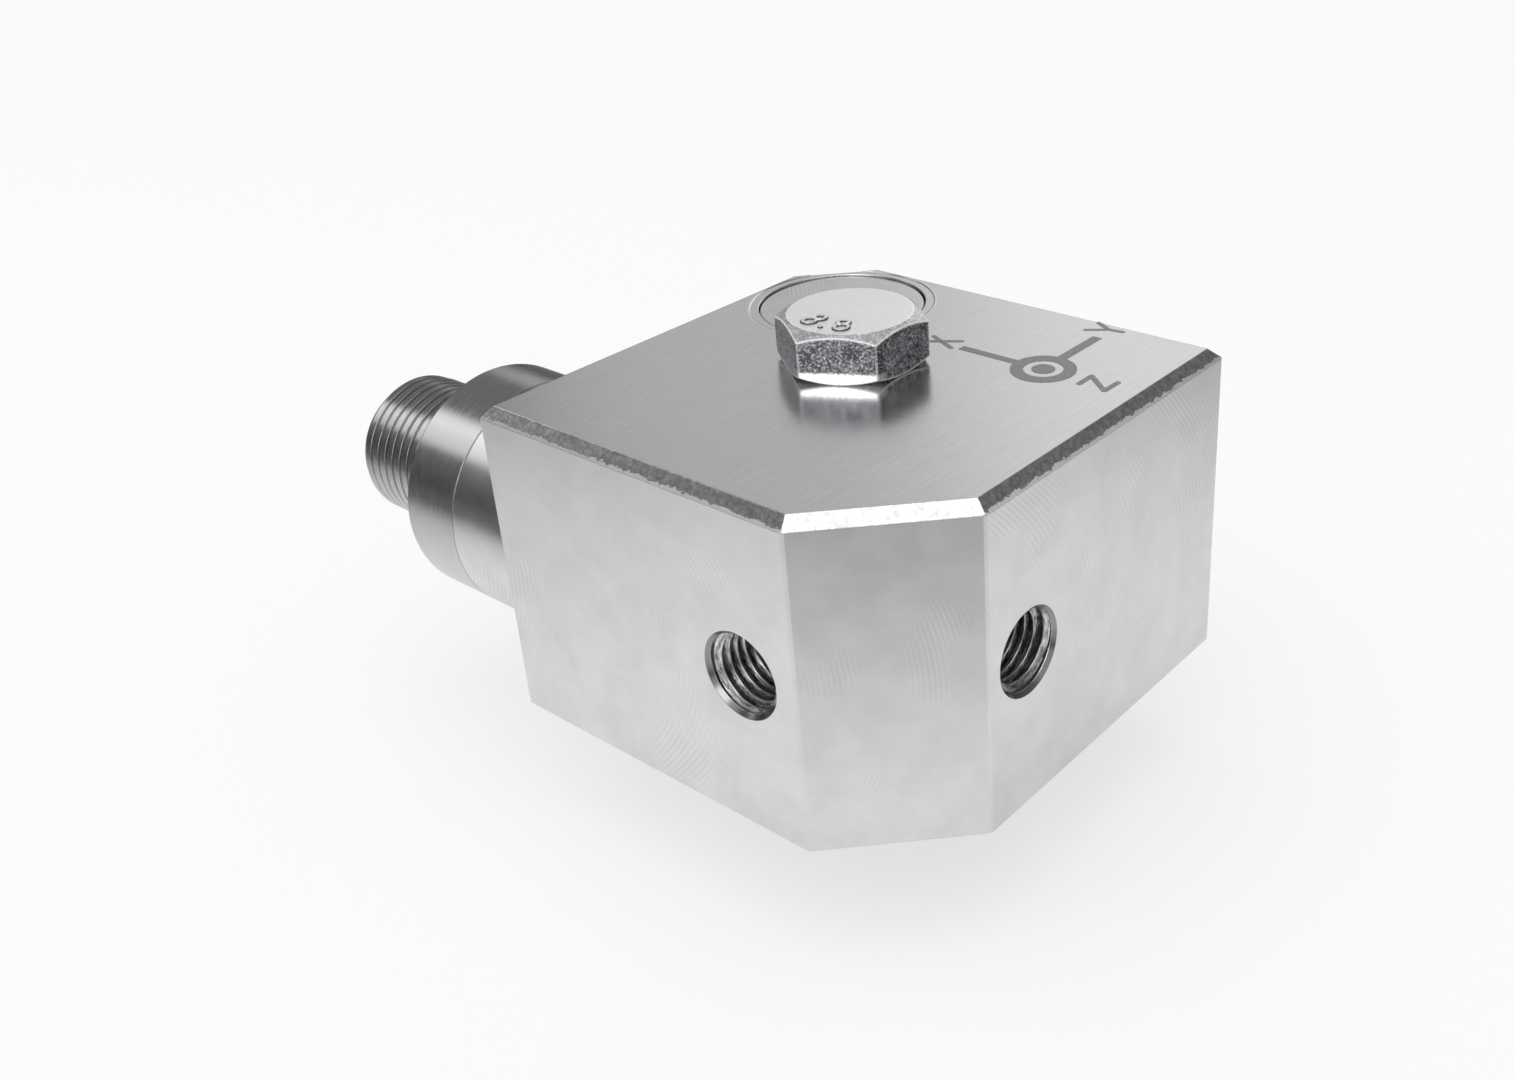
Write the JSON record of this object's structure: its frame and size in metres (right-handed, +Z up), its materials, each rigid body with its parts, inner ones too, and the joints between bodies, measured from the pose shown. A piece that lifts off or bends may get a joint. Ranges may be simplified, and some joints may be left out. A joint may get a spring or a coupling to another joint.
{
  "type": "vibration sensor",
  "caption": "Square steel block vibration sensor with a through bolt, a round threaded cable connector on one side and tapped holes in the adjoining faces.",
  "frame": {"origin": "on the mounting bolt's axis, in the flat mounting face at the bottom of the block", "axes": "+Z up along the bolt's axis towards its head, with the bolt's thread sticking out towards -Z; -X along the connector's axis, the way the cable's plug leaves; the tapped holes open in the -Y face and the +X face"},
  "size_m": [0.0621, 0.0381, 0.039],
  "materials": {
    "block_steel": "stainless steel, fly-cut faces with faint curved milling marks, bright broken edges",
    "lid_steel": "stainless steel, faced flush after welding",
    "plated_bolt": "cold-headed steel with bright zinc plating, drawn sides and pale top",
    "turned_steel": "stainless steel, turned",
    "seal_rubber": "moulded rubber",
    "insert_plastic": "moulded glass-filled plastic",
    "plated_contact": "gold-plated brass",
    "potting_resin": "cast epoxy resin",
    "lead_insulation": "white lead insulation",
    "inner_steel": "ground steel",
    "insulator_ceramic": "fired alumina",
    "piezo_ceramic": "fired and silvered piezoelectric ceramic",
    "electrode_brass": "stamped brass",
    "enamelled_wire": "enamelled copper",
    "board_laminate": "green solder mask on glass-epoxy laminate",
    "component_plastic": "moulded black component bodies"
  },
  "bodies": {
    "root": {"bolt_retaining_ring": "seal_rubber", "connector_insert": "insert_plastic", "connector_shell": "turned_steel", "contact_leads": "lead_insulation", "contact_pins": "plated_contact", "housing": "block_steel", "insert_potting": "potting_resin", "insert_seal": "seal_rubber", "mounting_bolt": "plated_bolt", "side_lid": "lid_steel", "top_lid": "lid_steel", "x_amplifier_board": "board_laminate", "x_base_insulator": "insulator_ceramic", "x_board_parts": "component_plastic", "x_board_ring": "insert_plastic", "x_electrode": "electrode_brass", "x_piezo_rings": "piezo_ceramic", "x_preload_nut": "inner_steel", "x_preload_stud": "inner_steel", "x_seismic_mass": "inner_steel", "x_signal_wire": "enamelled_wire", "y_amplifier_board": "board_laminate", "y_base_insulator": "insulator_ceramic", "y_board_parts": "component_plastic", "y_board_ring": "insert_plastic", "y_electrode": "electrode_brass", "y_link_lead": "lead_insulation", "y_piezo_rings": "piezo_ceramic", "y_preload_nut": "inner_steel", "y_preload_stud": "inner_steel", "y_seismic_mass": "inner_steel", "y_signal_wire": "enamelled_wire", "z_amplifier_board": "board_laminate", "z_base_insulator": "insulator_ceramic", "z_board_parts": "component_plastic", "z_board_ring": "insert_plastic", "z_electrode": "electrode_brass", "z_link_lead": "lead_insulation", "z_piezo_rings": "piezo_ceramic", "z_preload_nut": "inner_steel", "z_preload_stud": "inner_steel", "z_seismic_mass": "inner_steel", "z_signal_wire": "enamelled_wire"}
  },
  "joints": []
}
